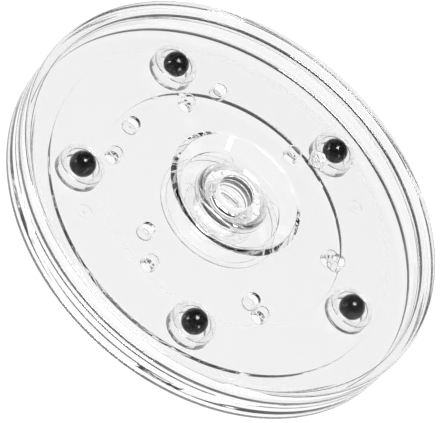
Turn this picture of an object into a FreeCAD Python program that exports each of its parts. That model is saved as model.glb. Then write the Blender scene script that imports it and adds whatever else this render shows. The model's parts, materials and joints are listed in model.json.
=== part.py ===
import FreeCAD, Part
import math
import os

# Ball-bearing turntable: a clear base disc and a clear top disc on one vertical axis.
# Millimetres, +Z up, origin at the middle of the base's foot. +X runs through the first ball.

# Overall sizes
OUTER_R = 76.2
RIM_WALL = 3.2
BASE_RIM_HEIGHT = 8.3
RIM_GAP = 1.1
RIM_ROUND = 0.8

# Base disc: a flat floor with a solid raised ball track on it, inside an upright rim
BASE_PLATE = 2.0
BASE_FLOOR_Z = 3.6
OUTER_RING_WIDTH = 9.8
TRACK_WIDTH = 18.3
TRACK_RISE = 1.6
BASE_COLLAR_R = 21.8
BASE_COLLAR_HEIGHT = 0.6

# Balls, and the cups that hold them on the track
BALL_COUNT = 5
BALL_R = 4.365
BALL_SETBACK = 9.6
TRACK_CLEARANCE = 0.05
CUP_CLEARANCE = 1.335
CUP_WALL = 2.1
CUP_HEIGHT = 4.7
CUP_ROUND = 0.4
CUP_SEAT_DEPTH = 0.5
CUP_SEAT_CLEARANCE = 0.05

# Top disc: a flat plate with a skirt, and a cone-walled well around the hub
TOP_PLATE = 1.5
WELL_DEPTH = 4.83
WELL_FLOOR_WIDTH = 5.4
WELL_WALL_RUN = 4.0
WELL_WALL = 1.9

# Hub: a hollow shouldered sleeve, a wear washer and a retaining ring
HUB_BORE_R = 6.27
HUB_BORE_LENGTH = 6.6
HUB_LOWER_BORE_R = 8.0
HUB_SHANK_R = 9.6
HUB_HEAD_OVERHANG = 3.2
HUB_HEAD_SLOPE_DROP = 2.1
HUB_HEAD_ROUND = 1.0
RUNNING_CLEARANCE = 0.05
HUB_END_PLAY = 0.1
WASHER_OVERHANG = 0.6
WASHER_THICKNESS = 0.5
RETAINER_WIDTH = 3.4
RETAINER_THICKNESS = 1.2

# Screw holes, and the bosses that they run through: down from the top disc, up from the base's floor
SCREW_COUNT = 6
SCREW_SETBACK = 4.0
SCREW_HOLE_R = 2.2
SCREW_BOSS_WALL = 0.6
TOP_BOSS_LENGTH = 4.1
BASE_BOSS_RISE = 3.2
BASE_SCREW_ANGLE = 21.2
TOP_SCREW_ANGLE = 10.2

# Shallow round moulding marks on the ball track and on the floor of the well
MARK_R = 2.6
MARK_DOT_R = 0.6
MARK_DEPTH = 0.15
TRACK_MARK_ANGLES = (50.4, 232.4)
WELL_MARK_COUNT = 4
WELL_MARK_ANGLE = 37.0

# How far a cutting tool runs past the face that it cuts
TOOL_OVERRUN = 1.0

# Radii, from the rim inwards
rim_inner_r = OUTER_R - RIM_WALL
track_outer_r = rim_inner_r - OUTER_RING_WIDTH
track_inner_r = track_outer_r - TRACK_WIDTH
ball_circle_r = track_outer_r - BALL_SETBACK
screw_circle_r = track_inner_r - SCREW_SETBACK
cup_bore_r = BALL_R + CUP_CLEARANCE
cup_r = cup_bore_r + CUP_WALL

# Radii, from the hub outwards
hub_head_r = HUB_SHANK_R + HUB_HEAD_OVERHANG
washer_r = hub_head_r + WASHER_OVERHANG
retainer_r = HUB_SHANK_R + RETAINER_WIDTH
well_floor_r = hub_head_r + WELL_FLOOR_WIDTH
well_mark_r = (hub_head_r + well_floor_r) / 2

# Heights, from the foot upwards
track_z = BASE_FLOOR_Z + TRACK_RISE
base_underside_z = BASE_FLOOR_Z - BASE_PLATE
base_boss_z = BASE_FLOOR_Z + BASE_BOSS_RISE
retainer_z = base_underside_z - RETAINER_THICKNESS
cup_seat_z = track_z - CUP_SEAT_DEPTH
ball_z = track_z + TRACK_CLEARANCE + BALL_R
top_underside_z = ball_z + BALL_R + TRACK_CLEARANCE
top_z = top_underside_z + TOP_PLATE
top_rim_z = BASE_RIM_HEIGHT + RIM_GAP
well_floor_z = top_z - WELL_DEPTH
washer_z = well_floor_z + HUB_END_PLAY
washer_top_z = washer_z + WASHER_THICKNESS


def polar(radius, angle, z=0.0):
    """Point at a radius, an angle in degrees and a height."""
    turn = math.radians(angle)
    return FreeCAD.Vector(radius * math.cos(turn), radius * math.sin(turn), z)


def spaced(count, start=0.0):
    """Angles of a count of places spaced evenly around the axis."""
    return [start + 360.0 * i / count for i in range(count)]


def turned(points):
    """Solid of revolution about Z of a closed outline of (radius, height) points."""
    corners = [FreeCAD.Vector(r, 0, z) for r, z in points]
    outline = Part.makePolygon(corners + corners[:1])
    return Part.Face(outline).revolve(FreeCAD.Vector(), FreeCAD.Vector(0, 0, 1), 360)


def tube(outer_r, inner_r, low_z, high_z):
    """Straight ring about Z."""
    return turned([(inner_r, low_z), (outer_r, low_z), (outer_r, high_z), (inner_r, high_z)])


def circle_edges(shape, radius, z):
    """Edges of the shape that are circles about Z at the given radius and height."""
    found = []
    for edge in shape.Edges:
        box = edge.BoundBox
        flat = box.ZLength < 1e-6 and abs(box.ZMin - z) < 1e-6
        if flat and abs(box.XMax - radius) < 1e-4 and abs(box.XMin + radius) < 1e-4:
            found.append(edge)
    return found


def rounded(shape, places, radius):
    """The shape with its circular edge at each (radius, height) place rounded."""
    edges = []
    for place in places:
        edges += circle_edges(shape, *place)
    return shape.makeFillet(radius, edges)


def with_screw_holes(disc, low_z, high_z, start_angle):
    """The disc with a hollow boss between two heights for each screw."""
    hole_z = low_z - TOOL_OVERRUN
    hole_length = high_z - low_z + 2 * TOOL_OVERRUN
    for angle in spaced(SCREW_COUNT, start_angle):
        foot = polar(screw_circle_r, angle, low_z)
        disc = disc.fuse(Part.makeCylinder(SCREW_HOLE_R + SCREW_BOSS_WALL, high_z - low_z, foot))
        hole_foot = polar(screw_circle_r, angle, hole_z)
        disc = disc.cut(Part.makeCylinder(SCREW_HOLE_R, hole_length, hole_foot))
    return disc.removeSplitter()


def with_moulding_mark(disc, place):
    """The disc with a shallow ring sunk into its face around a dot."""
    floor = place - FreeCAD.Vector(0, 0, MARK_DEPTH)
    pocket = Part.makeCylinder(MARK_R, MARK_DEPTH + TOOL_OVERRUN, floor)
    dot = Part.makeCylinder(MARK_DOT_R, MARK_DEPTH + TOOL_OVERRUN, floor)
    return disc.cut(pocket.cut(dot))


def cup_seat(angle):
    """Cutting tool for the shallow ring groove that a ball cup stands in."""
    height = CUP_SEAT_DEPTH + TOOL_OVERRUN
    place = polar(ball_circle_r, angle, cup_seat_z)
    outside = Part.makeCylinder(cup_r + CUP_SEAT_CLEARANCE, height, place)
    return outside.cut(Part.makeCylinder(cup_bore_r - CUP_SEAT_CLEARANCE, height, place))


def base_disc():
    """Stationary disc: rim, flat floor and solid raised ball track."""
    disc = turned([
        (HUB_SHANK_R, BASE_FLOOR_Z),
        (HUB_SHANK_R, base_underside_z),
        (rim_inner_r, base_underside_z),
        (rim_inner_r, 0),
        (OUTER_R, 0),
        (OUTER_R, BASE_RIM_HEIGHT),
        (rim_inner_r, BASE_RIM_HEIGHT),
        (rim_inner_r, BASE_FLOOR_Z),
        (track_outer_r, BASE_FLOOR_Z),
        (track_outer_r, track_z),
        (track_inner_r, track_z),
        (track_inner_r, BASE_FLOOR_Z),
    ])
    disc = rounded(disc, [(OUTER_R, 0), (OUTER_R, BASE_RIM_HEIGHT)], RIM_ROUND)
    collar_z = base_underside_z - BASE_COLLAR_HEIGHT
    disc = disc.fuse(tube(BASE_COLLAR_R, BASE_COLLAR_R - BASE_PLATE, collar_z, base_underside_z))
    disc = with_screw_holes(disc, base_underside_z, base_boss_z, BASE_SCREW_ANGLE)
    for angle in spaced(BALL_COUNT):
        disc = disc.cut(cup_seat(angle))
    for angle in TRACK_MARK_ANGLES:
        disc = with_moulding_mark(disc, polar(ball_circle_r, angle, track_z))
    return disc


def top_disc():
    """Turning disc: flat plate, skirt over the base's rim, and the well around the hub."""
    hole_r = HUB_SHANK_R + RUNNING_CLEARANCE
    well_outer_r = well_floor_r + WELL_WALL
    disc = turned([
        (hole_r, well_floor_z),
        (hole_r, well_floor_z - WELL_WALL),
        (well_outer_r, well_floor_z - WELL_WALL),
        (well_outer_r + WELL_WALL_RUN, top_underside_z),
        (rim_inner_r, top_underside_z),
        (rim_inner_r, top_rim_z),
        (OUTER_R, top_rim_z),
        (OUTER_R, top_z),
        (well_floor_r + WELL_WALL_RUN, top_z),
        (well_floor_r, well_floor_z),
    ])
    disc = rounded(disc, [(OUTER_R, top_z), (OUTER_R, top_rim_z)], RIM_ROUND)
    disc = with_screw_holes(disc, top_z - TOP_BOSS_LENGTH, top_z, TOP_SCREW_ANGLE)
    for angle in spaced(WELL_MARK_COUNT, WELL_MARK_ANGLE):
        disc = with_moulding_mark(disc, polar(well_mark_r, angle, well_floor_z))
    return disc


def ball_cup(angle):
    """Short thick ring that stands in its seat on the track and keeps one ball in place."""
    cup_top_z = track_z + CUP_HEIGHT
    cup = tube(cup_r, cup_bore_r, cup_seat_z, cup_top_z)
    cup = rounded(cup, [(cup_r, cup_top_z), (cup_bore_r, cup_top_z)], CUP_ROUND)
    return cup.translated(polar(ball_circle_r, angle))


def ball(angle):
    """Bearing ball between the track and the top disc's flat underside."""
    return Part.makeSphere(BALL_R, polar(ball_circle_r, angle, ball_z))


def hub_sleeve():
    """Hollow rivet that holds the discs together: sloped head, shank and stepped bore."""
    slope_z = top_z - HUB_HEAD_SLOPE_DROP
    bore_step_z = top_z - HUB_BORE_LENGTH
    sleeve = turned([
        (HUB_BORE_R, top_z),
        (HUB_BORE_R, bore_step_z),
        (HUB_LOWER_BORE_R, bore_step_z),
        (HUB_LOWER_BORE_R, retainer_z),
        (HUB_SHANK_R, retainer_z),
        (HUB_SHANK_R, washer_top_z),
        (hub_head_r, washer_top_z),
        (hub_head_r, slope_z),
        (HUB_SHANK_R, top_z),
    ])
    return rounded(sleeve, [(hub_head_r, slope_z), (HUB_SHANK_R, top_z)], HUB_HEAD_ROUND)


def hub_washer():
    """Wear washer under the sleeve's head."""
    return tube(washer_r, HUB_SHANK_R, washer_z, washer_top_z)


def retaining_ring():
    """Ring on the sleeve's lower end, against the base's underside."""
    return tube(retainer_r, HUB_SHANK_R, retainer_z, base_underside_z)


nodes = {
    "base_disc": base_disc(),
    "top_disc": top_disc(),
    "hub_sleeve": hub_sleeve(),
    "hub_washer": hub_washer(),
    "retaining_ring": retaining_ring(),
}
for number, angle in enumerate(spaced(BALL_COUNT), 1):
    nodes["ball_cup_%d" % number] = ball_cup(angle)
    nodes["ball_%d" % number] = ball(angle)

os.makedirs("parts", exist_ok=True)
for name, shape in nodes.items():
    shape.exportStep("parts/%s.step" % name)
    print(name, shape.isValid(), len(shape.Solids), round(shape.Volume, 1))
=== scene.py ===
import json
import math

import bmesh
import bpy
from mathutils import Matrix, Vector

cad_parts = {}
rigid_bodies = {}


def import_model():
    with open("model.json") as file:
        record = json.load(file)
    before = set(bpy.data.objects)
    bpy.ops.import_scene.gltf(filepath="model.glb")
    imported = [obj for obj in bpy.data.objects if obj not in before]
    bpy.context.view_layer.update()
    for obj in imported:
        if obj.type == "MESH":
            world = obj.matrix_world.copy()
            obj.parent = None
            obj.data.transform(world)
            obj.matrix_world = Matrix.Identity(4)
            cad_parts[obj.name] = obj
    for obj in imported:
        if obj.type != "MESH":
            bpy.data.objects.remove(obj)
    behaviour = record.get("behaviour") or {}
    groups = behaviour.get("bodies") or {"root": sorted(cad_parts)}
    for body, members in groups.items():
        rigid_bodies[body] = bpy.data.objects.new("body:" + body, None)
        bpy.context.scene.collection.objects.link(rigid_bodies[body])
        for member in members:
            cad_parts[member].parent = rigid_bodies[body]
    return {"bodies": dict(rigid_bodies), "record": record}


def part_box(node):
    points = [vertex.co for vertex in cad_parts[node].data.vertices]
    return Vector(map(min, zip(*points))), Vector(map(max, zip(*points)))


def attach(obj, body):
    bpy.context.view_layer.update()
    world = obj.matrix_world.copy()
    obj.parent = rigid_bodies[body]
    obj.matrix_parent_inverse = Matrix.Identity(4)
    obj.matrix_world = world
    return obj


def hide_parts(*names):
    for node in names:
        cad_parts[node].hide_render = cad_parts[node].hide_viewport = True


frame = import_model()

bl_info = {
    "name": "Clear Ball-Bearing Turntable",
    "version": (1, 0, 0),
    "blender": (4, 5, 0),
    "location": "View3D > Sidebar > Turntable",
    "description": "Models a clear turntable bearing around its packed frame",
    "category": "Add Mesh",
}

MM = 0.001

# How finely each round piece is made: faces around it, and faces across a rounded corner
DISC_STEPS = 256
HUB_STEPS = 160
RING_STEPS = 128
CUP_STEPS = 96
ROD_STEPS = 64
BALL_CUTS = 23
CORNER_STEPS = 5
SMOOTH_ANGLE = math.radians(32)
FLAT_FACE_WEIGHT = 100
SAME_PLACE = 1e-6
SAME_POINT = 1e-7

# Where the round moulding marks lie around the axis
TRACK_MARK_ANGLES = (math.radians(50.4), math.radians(232.4))
WELL_MARK_COUNT = 4
WELL_MARK_ANGLE = math.radians(37.0)

# Clear plastic: how it bends light, its flow waves, and its uneven polish
PLASTIC_IOR = 1.52
PLASTIC_ROUGHNESS = 0.006
WAVE_STRENGTH = 0.02
WAVE_DEPTH = 0.0002
POLISH_FINENESS = 6
POLISH_DETAIL = 3.0

# Flow waves to the metre in each piece
BASE_WAVES = 35.0
TOP_WAVES = 30.0
CUP_WAVES = 120.0
HUB_WAVES = 60.0
WASHER_WAVES = 80.0

# Black balls: their polish, and the haze on it
BALL_IOR = 1.45
BALL_ROUGHNESS = 0.06
BALL_HAZE = 0.05
BALL_HAZE_SCALE = 900.0
BALL_HAZE_DETAIL = 3.0

# Floor: a wide disc just under the object, which glows like a light table
FLOOR_INNER_RADIUS = 1.0
FLOOR_SPREAD = 14
FLOOR_STEPS = 96
FLOOR_DROP = 0.0002
FLOOR_ROUGHNESS = 0.9
FLOOR_GLOW = 0.99

# Surround: its glow at the horizon and overhead, and the heights between which it changes
HORIZON_GLOW = 0.05
OVERHEAD_GLOW = 0.2
GLOW_STARTS = 0.75
GLOW_FULL = 0.98

# Lights: direction from the object, size in metres and power in watts
LIGHT_DISTANCE = 1.1
SOFTBOX_DIRECTION = Vector((-0.05, -0.08, 1.0))
SOFTBOX_SIZE = 0.5
SOFTBOX_POWER = 26.0
SOFTBOX_TURN = math.radians(45)
LAMP_SIZE = 0.36
LEFT_LAMP_DIRECTION = Vector((-0.87, -0.49, 0.10))
LEFT_LAMP_POWER = 60.0
RIGHT_LAMP_DIRECTION = Vector((0.83, -0.51, 0.22))
RIGHT_LAMP_POWER = 45.0

# Light paths long enough to come out of the stacked clear walls
LIGHT_BOUNCES = 32
GLOSSY_BOUNCES = 24

# Camera: direction and roll about the line of sight, and where the disc sits in the frame
CAMERA_AZIMUTH = math.radians(-91.12)
CAMERA_ELEVATION = math.radians(45.65)
CAMERA_ROLL = math.radians(42.06)
CAMERA_DISTANCE = 0.9337
CAMERA_LENS = 231.4
CAMERA_NEAR = 0.05
CAMERA_FAR = 60.0
TARGET_HEIGHT = 0.00611
TARGET_RIGHT = 0.001238
TARGET_UP = 0.00169

# What the frame says about places and sizes
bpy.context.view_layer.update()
base_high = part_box("base_disc")[1]
top_low, top_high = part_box("top_disc")
sleeve_low, sleeve_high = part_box("hub_sleeve")
washer_low, washer_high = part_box("hub_washer")
ring_low, ring_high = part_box("retaining_ring")
cup_low, cup_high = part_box("ball_cup_1")
ball_low, ball_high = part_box("ball_1")
mounts = {mount["name"]: mount for mount in frame["record"]["mounts"]}
ball_count = sum(name.startswith("roller_") for name in frame["bodies"])
ball_centre = (ball_low + ball_high) / 2


def hole_places(disc):
    """Middle of each screw hole of a disc."""
    prefix = disc + "_screw_hole_"
    return [Vector(mount["pos_m"]) for name, mount in mounts.items() if name.startswith(prefix)]


def length(label, text, millimetres):
    """A length that a user can change."""
    return bpy.props.FloatProperty(name=label, description=text, default=millimetres * MM, min=0.0,
                                   unit="LENGTH", precision=5)


def metres(label, text, value):
    """A length whose default comes from the frame."""
    return length(label, text, value / MM)


def colour(label, text, value):
    """A colour that a user can change."""
    return bpy.props.FloatVectorProperty(name=label, description=text, default=value, size=3,
                                         min=0.0, max=1.0, subtype="COLOR")


class DiscSizes(bpy.types.PropertyGroup):
    """Sizes of the two clear discs"""
    outer_radius: metres("Outer radius", "Radius of both discs", base_high.x)
    rim_wall: length("Rim wall", "Thickness of both rims", 3.2)
    rim_round: length("Rim rounding", "Rounding of the rims' outer edges", 0.8)
    edge_round: length("Edge rounding", "Rounding of the small edges", 0.22)
    base_plate: length("Base plate", "Thickness of the base's floor", 2.0)
    base_floor_height: length("Base floor height", "Height of the base's flat floor", 3.6)
    track_rise: length("Track rise", "How far the ball track stands above the floor", 1.6)
    track_outer_radius: length("Track outer radius", "Outside of the ball track", 63.2)
    track_inner_radius: length("Track inner radius", "Inside of the ball track", 44.9)
    collar_radius: length("Collar radius", "Outside of the collar under the base", 21.8)
    collar_height: length("Collar height", "Depth of the collar under the base", 0.6)
    top_plate: length("Top plate", "Thickness of the top disc", 1.5)
    rim_gap: length("Rim gap", "Gap between the two rims", 1.1)
    well_floor_radius: length("Well floor radius", "Radius of the floor of the hub's well", 18.2)
    well_mouth_radius: length("Well mouth radius", "Radius of the hub's well at the top", 22.2)
    well_wall: length("Well wall", "Thickness of the well's wall and floor", 1.9)
    boss_wall: length("Screw boss wall", "Wall of each hollow screw boss", 0.6)
    mark_radius: length("Mark radius", "Radius of the round moulding marks", 2.6)
    mark_dot_radius: length("Mark dot radius", "Radius of the dot in each moulding mark", 0.6)
    mark_depth: length("Mark depth", "Depth of the moulding marks", 0.15)


class BearingSizes(bpy.types.PropertyGroup):
    """Sizes of the cups, the balls and the hub"""
    ball_radius: metres("Ball radius", "Radius of each ball", (ball_high.x - ball_low.x) / 2)
    cup_radius: metres("Cup radius", "Outside of each ball cup", (cup_high.x - cup_low.x) / 2)
    cup_bore: length("Cup bore", "Radius of the inside of each cup", 5.7)
    cup_round: length("Cup rounding", "Rounding of each cup's upper edges", 0.5)
    seat_clearance: length("Seat clearance", "Gap between a cup and its seat", 0.05)
    hub_bore: metres("Hub bore", "Radius of the hub's bore", mounts["hub_bore"]["dims"]["r_mm"] * MM)
    hub_lower_bore: metres("Hub lower bore", "Radius of the bore below its step",
                           mounts["hub_lower_bore"]["dims"]["r_mm"] * MM)
    hub_bore_length: metres("Hub bore length", "Depth of the bore's step",
                            mounts["hub_bore"]["dims"]["length_mm"] * MM)
    shank_radius: length("Shank radius", "Radius of the sleeve's shank", 9.6)
    head_slope: length("Head slope", "Height of the sleeve head's sloped edge", 2.1)
    head_round: length("Head rounding", "Rounding of the sleeve's head", 1.0)
    fit_gap: length("Fit gap", "Air left between pieces that touch", 0.02)
    running_gap: length("Running gap", "Gap between the shank and the top disc", 0.05)


class Finishes(bpy.types.PropertyGroup):
    """Colours of the plastic, the balls and the stage"""
    plastic: colour("Plastic", "Tint of the clear plastic", (0.99, 0.99, 0.99))
    ball: colour("Ball", "Colour of the balls", (0.004, 0.004, 0.0045))
    floor: colour("Floor", "Colour of the floor", (0.06, 0.06, 0.06))


# Modelling by hand, one step to a function

def object_mode_only(piece=None):
    """Leaves edit mode, deselects everything, and makes one piece active and selected."""
    if bpy.context.object and bpy.context.object.mode != "OBJECT":
        bpy.ops.object.mode_set(mode="OBJECT")
    bpy.ops.object.select_all(action="DESELECT")
    if piece:
        piece.select_set(True)
        bpy.context.view_layer.objects.active = piece


def select_vertices(piece, wanted):
    """Selects, in edit mode, the vertices whose place passes a test."""
    bpy.ops.mesh.select_mode(type="VERT")
    bpy.ops.mesh.select_all(action="DESELECT")
    shape = bmesh.from_edit_mesh(piece.data)
    for vertex in shape.verts:
        vertex.select_set(wanted(vertex.co))
    shape.select_flush_mode()
    bmesh.update_edit_mesh(piece.data)


def turned(name, outline, steps=DISC_STEPS):
    """Ring-shaped piece: a flat outline of (radius, height, rounding) corners spun about Z."""
    object_mode_only()
    radius, height = outline[0][:2]
    bpy.ops.mesh.primitive_plane_add(size=MM, location=(0, 0, 0))
    piece = bpy.context.object
    piece.name = piece.data.name = name
    bpy.ops.object.mode_set(mode="EDIT")
    bpy.ops.mesh.select_all(action="SELECT")
    bpy.ops.mesh.merge(type="CENTER")
    bpy.ops.transform.translate(value=(radius, 0, height))
    for next_radius, next_height, _ in outline[1:]:
        step = (next_radius - radius, 0, next_height - height)
        bpy.ops.mesh.extrude_region_move(TRANSFORM_OT_translate={"value": step})
        radius, height = next_radius, next_height
    bpy.ops.mesh.select_all(action="SELECT")
    bpy.ops.mesh.edge_face_add()
    for radius, height, rounding in outline:
        if rounding:
            corner = Vector((radius, 0, height))
            select_vertices(piece, lambda place: (place - corner).length < SAME_PLACE)
            bpy.ops.mesh.bevel(offset=rounding, segments=CORNER_STEPS, affect="VERTICES")
    bpy.ops.mesh.select_all(action="SELECT")
    bpy.ops.mesh.delete(type="ONLY_FACE")
    bpy.ops.mesh.select_all(action="SELECT")
    bpy.ops.mesh.spin(steps=steps, angle=math.tau, center=(0, 0, 0), axis=(0, 0, 1))
    bpy.ops.mesh.select_all(action="SELECT")
    bpy.ops.mesh.remove_doubles(threshold=SAME_POINT)
    bpy.ops.mesh.normals_make_consistent(inside=False)
    bpy.ops.object.mode_set(mode="OBJECT")
    return piece


def rod(radius, low, high, place, flare=0.0):
    """Cylinder used as a tool, its ends flared outwards so that it breaks a hole's edges."""
    object_mode_only()
    middle = (low + high) / 2
    bpy.ops.mesh.primitive_cylinder_add(vertices=ROD_STEPS, radius=radius, depth=high - low,
                                        location=(place.x, place.y, middle))
    tool = bpy.context.object
    bpy.ops.object.transform_apply(location=True)
    if flare:
        bpy.ops.object.mode_set(mode="EDIT")
        for end, sign in ((high, 1), (low, -1)):
            select_vertices(tool, lambda spot: abs(spot.z - end) < SAME_PLACE)
            outward = {"value": (0, 0, sign * flare)}
            bpy.ops.mesh.extrude_region_move(TRANSFORM_OT_translate=outward)
            wider = (radius + flare) / radius
            bpy.ops.transform.resize(value=(wider, wider, 1),
                                     center_override=(place.x, place.y, end))
            bpy.ops.mesh.extrude_region_move(TRANSFORM_OT_translate={"value": (0, 0, sign * MM)})
        bpy.ops.object.mode_set(mode="OBJECT")
    return tool


def joined(tools):
    """Several tools made into one."""
    object_mode_only(tools[0])
    for tool in tools[1:]:
        tool.select_set(True)
    bpy.ops.object.join()
    return tools[0]


def combine(piece, tool, operation):
    """Adds a tool to a piece or cuts it away, and removes the tool."""
    object_mode_only(piece)
    change = piece.modifiers.new("Combine", "BOOLEAN")
    change.operation = operation
    change.solver = "EXACT"
    change.object = tool
    bpy.ops.object.modifier_apply(modifier=change.name)
    bpy.data.objects.remove(tool)


def smooth(piece):
    """Smooth shading with flat faces kept truly flat."""
    object_mode_only(piece)
    bpy.ops.object.shade_smooth_by_angle(angle=SMOOTH_ANGLE)
    weighting = piece.modifiers.new("Normals", "WEIGHTED_NORMAL")
    weighting.weight = FLAT_FACE_WEIGHT
    weighting.keep_sharp = True
    bpy.ops.object.modifier_apply(modifier=weighting.name)


def copies(piece, count, name):
    """The piece and its copies around the axis, each with its own mesh."""
    object_mode_only(piece)
    bpy.ops.object.transform_apply(location=True)
    made = [piece]
    for number in range(1, count):
        object_mode_only()
        twin = piece.copy()
        twin.data = piece.data.copy()
        bpy.context.scene.collection.objects.link(twin)
        twin.rotation_euler.z = math.tau * number / count
        made.append(twin)
    for number, each in enumerate(made, 1):
        each.name = each.data.name = "%s_%d" % (name, number)
        object_mode_only(each)
        bpy.ops.object.transform_apply(rotation=True)
    return made


def around(count, radius, start=0.0):
    """Places spaced evenly on a circle."""
    turns = [start + math.tau * number / count for number in range(count)]
    return [Vector((radius * math.cos(turn), radius * math.sin(turn), 0)) for turn in turns]


def with_screw_holes(piece, disc, boss_low, boss_high, sizes):
    """Adds the hollow screw bosses to a disc, and their holes."""
    hole = mounts[disc + "_screw_hole_1"]["dims"]
    half = hole["length_mm"] * MM / 2
    radius = hole["r_mm"] * MM
    places = hole_places(disc)
    bosses = [rod(radius + sizes.boss_wall, boss_low, boss_high, place) for place in places]
    combine(piece, joined(bosses), "UNION")
    flare = sizes.edge_round / 2
    holes = [rod(radius, place.z - half + flare, place.z + half - flare, place, flare)
             for place in places]
    combine(piece, joined(holes), "DIFFERENCE")


def with_marks(piece, places, face, sizes):
    """Sinks shallow round moulding marks into a face, each around a dot."""
    for place in places:
        low = face - sizes.mark_depth
        pocket = rod(sizes.mark_radius, low, face + MM, place)
        combine(pocket, rod(sizes.mark_dot_radius, low - MM, face + 2 * MM, place), "DIFFERENCE")
        combine(piece, pocket, "DIFFERENCE")


# Shader maths as Python expressions

class Signal:
    """A node socket that can be added and multiplied."""

    def __init__(self, nodes, socket):
        self.nodes = nodes
        self.socket = socket

    def _math(self, operation, first, second):
        return self.nodes.make("ShaderNodeMath", {"operation": operation}, {0: first, 1: second})

    def __add__(self, other):
        return self._math("ADD", self, other)

    def __radd__(self, other):
        return self._math("ADD", other, self)

    def __mul__(self, other):
        return self._math("MULTIPLY", self, other)

    def __rmul__(self, other):
        return self._math("MULTIPLY", other, self)


class Nodes:
    """Builds one node tree."""

    def __init__(self, tree):
        self.tree = tree
        tree.nodes.clear()

    def make(self, kind, settings=None, values=None, output=0):
        """Adds a node, sets it up and fills its sockets with values or signals."""
        node = self.tree.nodes.new(kind)
        for setting, value in (settings or {}).items():
            setattr(node, setting, value)
        for socket, value in (values or {}).items():
            if isinstance(value, Signal):
                self.tree.links.new(value.socket, node.inputs[socket])
            else:
                node.inputs[socket].default_value = value
        return Signal(self, node.outputs[output]) if node.outputs else None

    def noise(self, where, scale, detail=2.0):
        """Smooth noise from 0 to 1, at a number of lumps to the metre."""
        return self.make("ShaderNodeTexNoise", {}, {"Vector": where, "Scale": scale, "Detail": detail})

    def spot(self):
        """The place on the piece."""
        return self.make("ShaderNodeTexCoord", output=3)

    def finish(self, shader):
        """Connects a shader to the material's output."""
        self.make("ShaderNodeOutputMaterial", {}, {"Surface": shader})


def clear_plastic(name, tint, wave_scale):
    """Polished clear moulding with faint flow waves and a slightly uneven polish."""
    material = bpy.data.materials.new(name)
    material.use_nodes = True
    nodes = Nodes(material.node_tree)
    spot = nodes.spot()
    flow = nodes.noise(spot, wave_scale)
    polish = nodes.noise(spot, wave_scale * POLISH_FINENESS, POLISH_DETAIL)
    bump = nodes.make("ShaderNodeBump", {}, {
        "Strength": WAVE_STRENGTH,
        "Distance": WAVE_DEPTH,
        "Height": flow,
    })
    shader = nodes.make("ShaderNodeBsdfPrincipled", {}, {
        "Base Color": (*tint, 1.0),
        "Roughness": PLASTIC_ROUGHNESS * polish,
        "IOR": PLASTIC_IOR,
        "Transmission Weight": 1.0,
        "Normal": bump,
    })
    nodes.finish(shader)
    return material


def black_ball(tint):
    """Hard black ball with a faint haze on its polish."""
    material = bpy.data.materials.new("ball_black")
    material.use_nodes = True
    nodes = Nodes(material.node_tree)
    spot = nodes.spot()
    haze = nodes.noise(spot, BALL_HAZE_SCALE, BALL_HAZE_DETAIL)
    shader = nodes.make("ShaderNodeBsdfPrincipled", {}, {
        "Base Color": (*tint, 1.0),
        "Roughness": BALL_ROUGHNESS + BALL_HAZE * haze,
        "IOR": BALL_IOR,
    })
    nodes.finish(shader)
    return material


def studio_floor(tint):
    """Matt floor that glows white, as a light table does."""
    material = bpy.data.materials.new("studio_floor")
    material.use_nodes = True
    nodes = Nodes(material.node_tree)
    shader = nodes.make("ShaderNodeBsdfPrincipled", {}, {
        "Base Color": (*tint, 1.0),
        "Roughness": FLOOR_ROUGHNESS,
        "Emission Color": (1.0, 1.0, 1.0, 1.0),
        "Emission Strength": FLOOR_GLOW,
    })
    nodes.finish(shader)
    return material


def finished(piece, material, body, node):
    """Gives a piece its smooth shading, material and body, and hides the CAD node that it stands for.
    """
    smooth(piece)
    piece.data.materials.clear()
    piece.data.materials.append(material)
    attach(piece, body)
    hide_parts(node)


class TURNTABLE_OT_base_disc(bpy.types.Operator):
    """Add the base disc"""
    bl_idname = "turntable.base_disc"
    bl_label = "Base Disc"

    def execute(self, context):
        sizes = context.scene.turntable_discs
        bearing = context.scene.turntable_bearing
        inner = sizes.outer_radius - sizes.rim_wall
        floor = sizes.base_floor_height
        track = floor + sizes.track_rise
        plate, edge, rim = sizes.base_plate, sizes.edge_round, sizes.rim_round
        underside = floor - plate
        hole = bearing.shank_radius + bearing.fit_gap
        collar = sizes.collar_radius
        collar_foot = underside - sizes.collar_height
        piece = turned("base_disc_clear", [
            (hole, floor, edge),
            (hole, underside, edge),
            (collar - plate, underside, 0),
            (collar - plate, collar_foot, edge),
            (collar, collar_foot, edge),
            (collar, underside, 0),
            (inner, underside, 0),
            (inner, 0.0, edge),
            (sizes.outer_radius, 0.0, rim),
            (sizes.outer_radius, base_high.z, rim),
            (inner, base_high.z, edge),
            (inner, floor, 0),
            (sizes.track_outer_radius, floor, 0),
            (sizes.track_outer_radius, track, edge),
            (sizes.track_inner_radius, track, edge),
            (sizes.track_inner_radius, floor, 0),
        ])
        screw_hole = mounts["base_screw_hole_1"]
        boss_top = screw_hole["pos_m"][2] + screw_hole["dims"]["length_mm"] * MM / 2
        with_screw_holes(piece, "base", floor - plate / 2, boss_top, sizes)
        seat = cup_low.z - bearing.fit_gap
        gap = bearing.seat_clearance
        grooves = []
        for place in around(ball_count, ball_centre.x):
            groove = rod(bearing.cup_radius + gap, seat, track + MM, place)
            combine(groove, rod(bearing.cup_bore - gap, seat - MM, track + 2 * MM, place), "DIFFERENCE")
            grooves.append(groove)
        combine(piece, joined(grooves), "DIFFERENCE")
        marks = [Matrix.Rotation(turn, 3, "Z") @ Vector((ball_centre.x, 0, 0))
                 for turn in TRACK_MARK_ANGLES]
        with_marks(piece, marks, track, sizes)
        material = clear_plastic("clear_base", context.scene.turntable_finishes.plastic, BASE_WAVES)
        finished(piece, material, "base", "base_disc")
        return {"FINISHED"}


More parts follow.
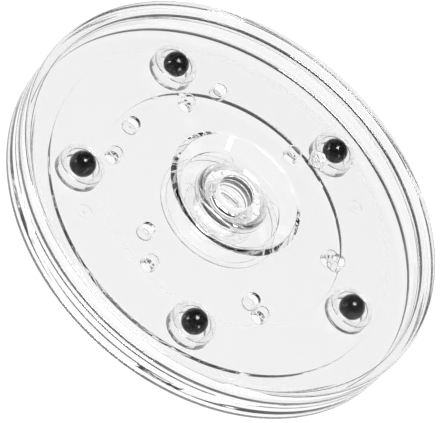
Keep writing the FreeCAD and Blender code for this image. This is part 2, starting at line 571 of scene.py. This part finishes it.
class TURNTABLE_OT_top_disc(bpy.types.Operator):
    """Add the top disc"""
    bl_idname = "turntable.top_disc"
    bl_label = "Top Disc"

    def execute(self, context):
        sizes = context.scene.turntable_discs
        bearing = context.scene.turntable_bearing
        inner = sizes.outer_radius - sizes.rim_wall
        underside = top_high.z - sizes.top_plate
        rim_foot = base_high.z + sizes.rim_gap
        floor = top_low.z + sizes.well_wall
        edge, rim, wall = sizes.edge_round, sizes.rim_round, sizes.well_wall
        hole = bearing.shank_radius + bearing.running_gap
        piece = turned("top_disc_clear", [
            (hole, floor, edge),
            (hole, top_low.z, edge),
            (sizes.well_floor_radius + wall, top_low.z, edge),
            (sizes.well_mouth_radius + wall, underside, 0),
            (inner, underside, 0),
            (inner, rim_foot, edge),
            (sizes.outer_radius, rim_foot, rim),
            (sizes.outer_radius, top_high.z, rim),
            (sizes.well_mouth_radius, top_high.z, edge),
            (sizes.well_floor_radius, floor, 0),
        ])
        screw_hole = mounts["top_screw_hole_1"]
        boss_foot = screw_hole["pos_m"][2] - screw_hole["dims"]["length_mm"] * MM / 2
        with_screw_holes(piece, "top", boss_foot, top_high.z - sizes.top_plate / 2, sizes)
        middle = (sleeve_high.x + sizes.well_floor_radius) / 2
        with_marks(piece, around(WELL_MARK_COUNT, middle, WELL_MARK_ANGLE), floor, sizes)
        material = clear_plastic("clear_top", context.scene.turntable_finishes.plastic, TOP_WAVES)
        finished(piece, material, "top", "top_disc")
        return {"FINISHED"}


class TURNTABLE_OT_ball_cups(bpy.types.Operator):
    """Add the ball cups"""
    bl_idname = "turntable.ball_cups"
    bl_label = "Ball Cups"

    def execute(self, context):
        bearing = context.scene.turntable_bearing
        edge = context.scene.turntable_discs.edge_round / 2
        cup = turned("ball_cup", [
            (bearing.cup_bore, cup_low.z, edge),
            (bearing.cup_radius, cup_low.z, edge),
            (bearing.cup_radius, cup_high.z, bearing.cup_round),
            (bearing.cup_bore, cup_high.z, bearing.cup_round),
        ], CUP_STEPS)
        cup.location.x = ball_centre.x
        material = clear_plastic("clear_cup", context.scene.turntable_finishes.plastic, CUP_WAVES)
        for number, piece in enumerate(copies(cup, ball_count, "cup_clear"), 1):
            finished(piece, material, "base", "ball_cup_%d" % number)
        return {"FINISHED"}


class TURNTABLE_OT_balls(bpy.types.Operator):
    """Add the balls"""
    bl_idname = "turntable.balls"
    bl_label = "Balls"

    def execute(self, context):
        radius = context.scene.turntable_bearing.ball_radius
        object_mode_only()
        bpy.ops.mesh.primitive_cube_add(size=2 * radius)
        ball = bpy.context.object
        bpy.ops.object.mode_set(mode="EDIT")
        bpy.ops.mesh.select_all(action="SELECT")
        bpy.ops.mesh.subdivide(number_cuts=BALL_CUTS)
        bpy.ops.transform.tosphere(value=1.0)
        bpy.ops.object.mode_set(mode="OBJECT")
        reach = max(vertex.co.length for vertex in ball.data.vertices)
        ball.scale = (radius / reach,) * 3
        bpy.ops.object.transform_apply(scale=True)
        ball.location = ball_centre
        material = black_ball(context.scene.turntable_finishes.ball)
        for number, piece in enumerate(copies(ball, ball_count, "ball_black"), 1):
            finished(piece, material, "roller_%d" % number, "ball_%d" % number)
        return {"FINISHED"}


class TURNTABLE_OT_hub(bpy.types.Operator):
    """Add the hub's sleeve, washer and retaining ring"""
    bl_idname = "turntable.hub"
    bl_label = "Hub"

    def execute(self, context):
        bearing = context.scene.turntable_bearing
        edge = context.scene.turntable_discs.edge_round
        tint = context.scene.turntable_finishes.plastic
        step = sleeve_high.z - bearing.hub_bore_length
        shank, gap = bearing.shank_radius, bearing.fit_gap
        head = sleeve_high.x
        slope = sleeve_high.z - bearing.head_slope
        sleeve = turned("hub_sleeve_clear", [
            (bearing.hub_bore, sleeve_high.z, edge),
            (bearing.hub_bore, step, edge),
            (bearing.hub_lower_bore, step, 0),
            (bearing.hub_lower_bore, sleeve_low.z, edge),
            (shank, sleeve_low.z, edge),
            (shank, washer_high.z, 0),
            (head, washer_high.z, edge),
            (head, slope, bearing.head_round),
            (shank, sleeve_high.z, bearing.head_round),
        ], HUB_STEPS)
        sleeve_plastic = clear_plastic("clear_hub", tint, HUB_WAVES)
        finished(sleeve, sleeve_plastic, "base", "hub_sleeve")
        ring_plastic = clear_plastic("clear_washer", tint, WASHER_WAVES)
        washer = turned("hub_washer_clear", [
            (shank + gap, washer_low.z, edge / 2),
            (washer_high.x, washer_low.z, edge / 2),
            (washer_high.x, washer_high.z - gap, edge / 2),
            (shank + gap, washer_high.z - gap, edge / 2),
        ], RING_STEPS)
        finished(washer, ring_plastic, "base", "hub_washer")
        ring = turned("retaining_ring_clear", [
            (shank + gap, ring_low.z, edge),
            (ring_high.x, ring_low.z, edge),
            (ring_high.x, ring_high.z - gap, edge),
            (shank + gap, ring_high.z - gap, edge),
        ], RING_STEPS)
        finished(ring, ring_plastic, "base", "retaining_ring")
        return {"FINISHED"}


def level_axes():
    """Right, up and towards-the-camera directions before the camera is rolled."""
    towards = Vector((math.cos(CAMERA_AZIMUTH) * math.cos(CAMERA_ELEVATION),
                      math.sin(CAMERA_AZIMUTH) * math.cos(CAMERA_ELEVATION),
                      math.sin(CAMERA_ELEVATION)))
    right = Vector((-math.sin(CAMERA_AZIMUTH), math.cos(CAMERA_AZIMUTH), 0))
    return right, towards.cross(right), towards


def add_camera():
    """Camera at a three-quarter view from above, rolled about its line of sight."""
    right, up, towards = level_axes()
    rolled_right = right * math.cos(CAMERA_ROLL) + up * math.sin(CAMERA_ROLL)
    rolled_up = up * math.cos(CAMERA_ROLL) - right * math.sin(CAMERA_ROLL)
    data = bpy.data.cameras.new("camera")
    data.lens = CAMERA_LENS
    data.clip_start = CAMERA_NEAR
    data.clip_end = CAMERA_FAR
    camera = bpy.data.objects.new("camera", data)
    bpy.context.scene.collection.objects.link(camera)
    aim = Vector((0, 0, TARGET_HEIGHT)) - rolled_right * TARGET_RIGHT - rolled_up * TARGET_UP
    axes = Matrix((rolled_right, rolled_up, towards)).transposed().to_4x4()
    axes.translation = aim + towards * CAMERA_DISTANCE
    camera.matrix_world = axes
    bpy.context.scene.camera = camera


def add_light(name, direction, shape, size, power, turn=0.0):
    """Soft light that faces the object and isn't seen itself."""
    data = bpy.data.lights.new(name, "AREA")
    data.shape = shape
    data.size = size
    data.energy = power
    light = bpy.data.objects.new(name, data)
    bpy.context.scene.collection.objects.link(light)
    facing = direction.normalized().to_track_quat("Z", "Y").to_matrix().to_4x4()
    light.matrix_world = (Matrix.Translation(direction.normalized() * LIGHT_DISTANCE)
                          @ facing @ Matrix.Rotation(turn, 4, "Z"))
    light.visible_camera = False


def add_floor(tint):
    """Wide round floor under the object."""
    object_mode_only()
    bpy.ops.mesh.primitive_circle_add(vertices=FLOOR_STEPS, radius=FLOOR_INNER_RADIUS,
                                      fill_type="NGON", location=(0, 0, -FLOOR_DROP))
    floor = bpy.context.object
    floor.name = floor.data.name = "studio_floor"
    bpy.ops.object.mode_set(mode="EDIT")
    bpy.ops.mesh.select_all(action="SELECT")
    bpy.ops.mesh.extrude_region_move(TRANSFORM_OT_translate={"value": (0, 0, 0)})
    bpy.ops.transform.resize(value=(FLOOR_SPREAD, FLOOR_SPREAD, 1))
    bpy.ops.object.mode_set(mode="OBJECT")
    bpy.ops.object.transform_apply(location=True, scale=True)
    floor.data.materials.append(studio_floor(tint))


def add_world():
    """Surround that is bright overhead and dim towards the horizon."""
    world = bpy.data.worlds.new("studio")
    bpy.context.scene.world = world
    world.use_nodes = True
    nodes = Nodes(world.node_tree)
    direction = nodes.make("ShaderNodeTexCoord", output=0)
    height = nodes.make("ShaderNodeSeparateXYZ", {}, {0: direction}, output=2)
    glow = nodes.make("ShaderNodeMapRange", {"interpolation_type": "SMOOTHSTEP"}, {
        0: height,
        1: GLOW_STARTS,
        2: GLOW_FULL,
        3: HORIZON_GLOW,
        4: OVERHEAD_GLOW,
    })
    background = nodes.make("ShaderNodeBackground", {}, {"Color": (1, 1, 1, 1), "Strength": glow})
    nodes.make("ShaderNodeOutputWorld", {}, {"Surface": background})


class TURNTABLE_OT_stage(bpy.types.Operator):
    """Add the floor, the lights, the surround and the camera"""
    bl_idname = "turntable.stage"
    bl_label = "Stage"

    def execute(self, context):
        add_floor(context.scene.turntable_finishes.floor)
        add_world()
        add_camera()
        add_light("overhead_softbox", SOFTBOX_DIRECTION, "SQUARE", SOFTBOX_SIZE, SOFTBOX_POWER,
                  SOFTBOX_TURN)
        add_light("left_lamp", LEFT_LAMP_DIRECTION, "DISK", LAMP_SIZE, LEFT_LAMP_POWER)
        add_light("right_lamp", RIGHT_LAMP_DIRECTION, "DISK", LAMP_SIZE, RIGHT_LAMP_POWER)
        context.scene.view_settings.view_transform = "Standard"
        light_paths = context.scene.cycles
        light_paths.max_bounces = LIGHT_BOUNCES
        light_paths.transmission_bounces = LIGHT_BOUNCES
        light_paths.glossy_bounces = GLOSSY_BOUNCES
        return {"FINISHED"}


class TURNTABLE_PT_pieces(bpy.types.Panel):
    """Lists the turntable's pieces"""
    bl_idname = "TURNTABLE_PT_pieces"
    bl_label = "Turntable"
    bl_space_type = "VIEW_3D"
    bl_region_type = "UI"
    bl_category = "Turntable"

    def draw(self, context):
        for step in STEPS:
            self.layout.operator(step.bl_idname)
        for group in GROUPS:
            settings = getattr(context.scene, group)
            for name in settings.bl_rna.properties.keys():
                if name not in {"rna_type", "name"}:
                    self.layout.prop(settings, name)


STEPS = (
    TURNTABLE_OT_base_disc,
    TURNTABLE_OT_top_disc,
    TURNTABLE_OT_ball_cups,
    TURNTABLE_OT_balls,
    TURNTABLE_OT_hub,
    TURNTABLE_OT_stage,
)
GROUPS = {
    "turntable_discs": DiscSizes,
    "turntable_bearing": BearingSizes,
    "turntable_finishes": Finishes,
}


def register():
    for kind in (*GROUPS.values(), *STEPS, TURNTABLE_PT_pieces):
        bpy.utils.register_class(kind)
    for name, kind in GROUPS.items():
        setattr(bpy.types.Scene, name, bpy.props.PointerProperty(type=kind))


def unregister():
    for name in GROUPS:
        delattr(bpy.types.Scene, name)
    for kind in (*GROUPS.values(), *STEPS, TURNTABLE_PT_pieces):
        bpy.utils.unregister_class(kind)


def main():
    register()
    bpy.ops.turntable.base_disc()
    bpy.ops.turntable.top_disc()
    bpy.ops.turntable.ball_cups()
    bpy.ops.turntable.balls()
    bpy.ops.turntable.hub()
    bpy.ops.turntable.stage()


if __name__ == "__main__":
    main()
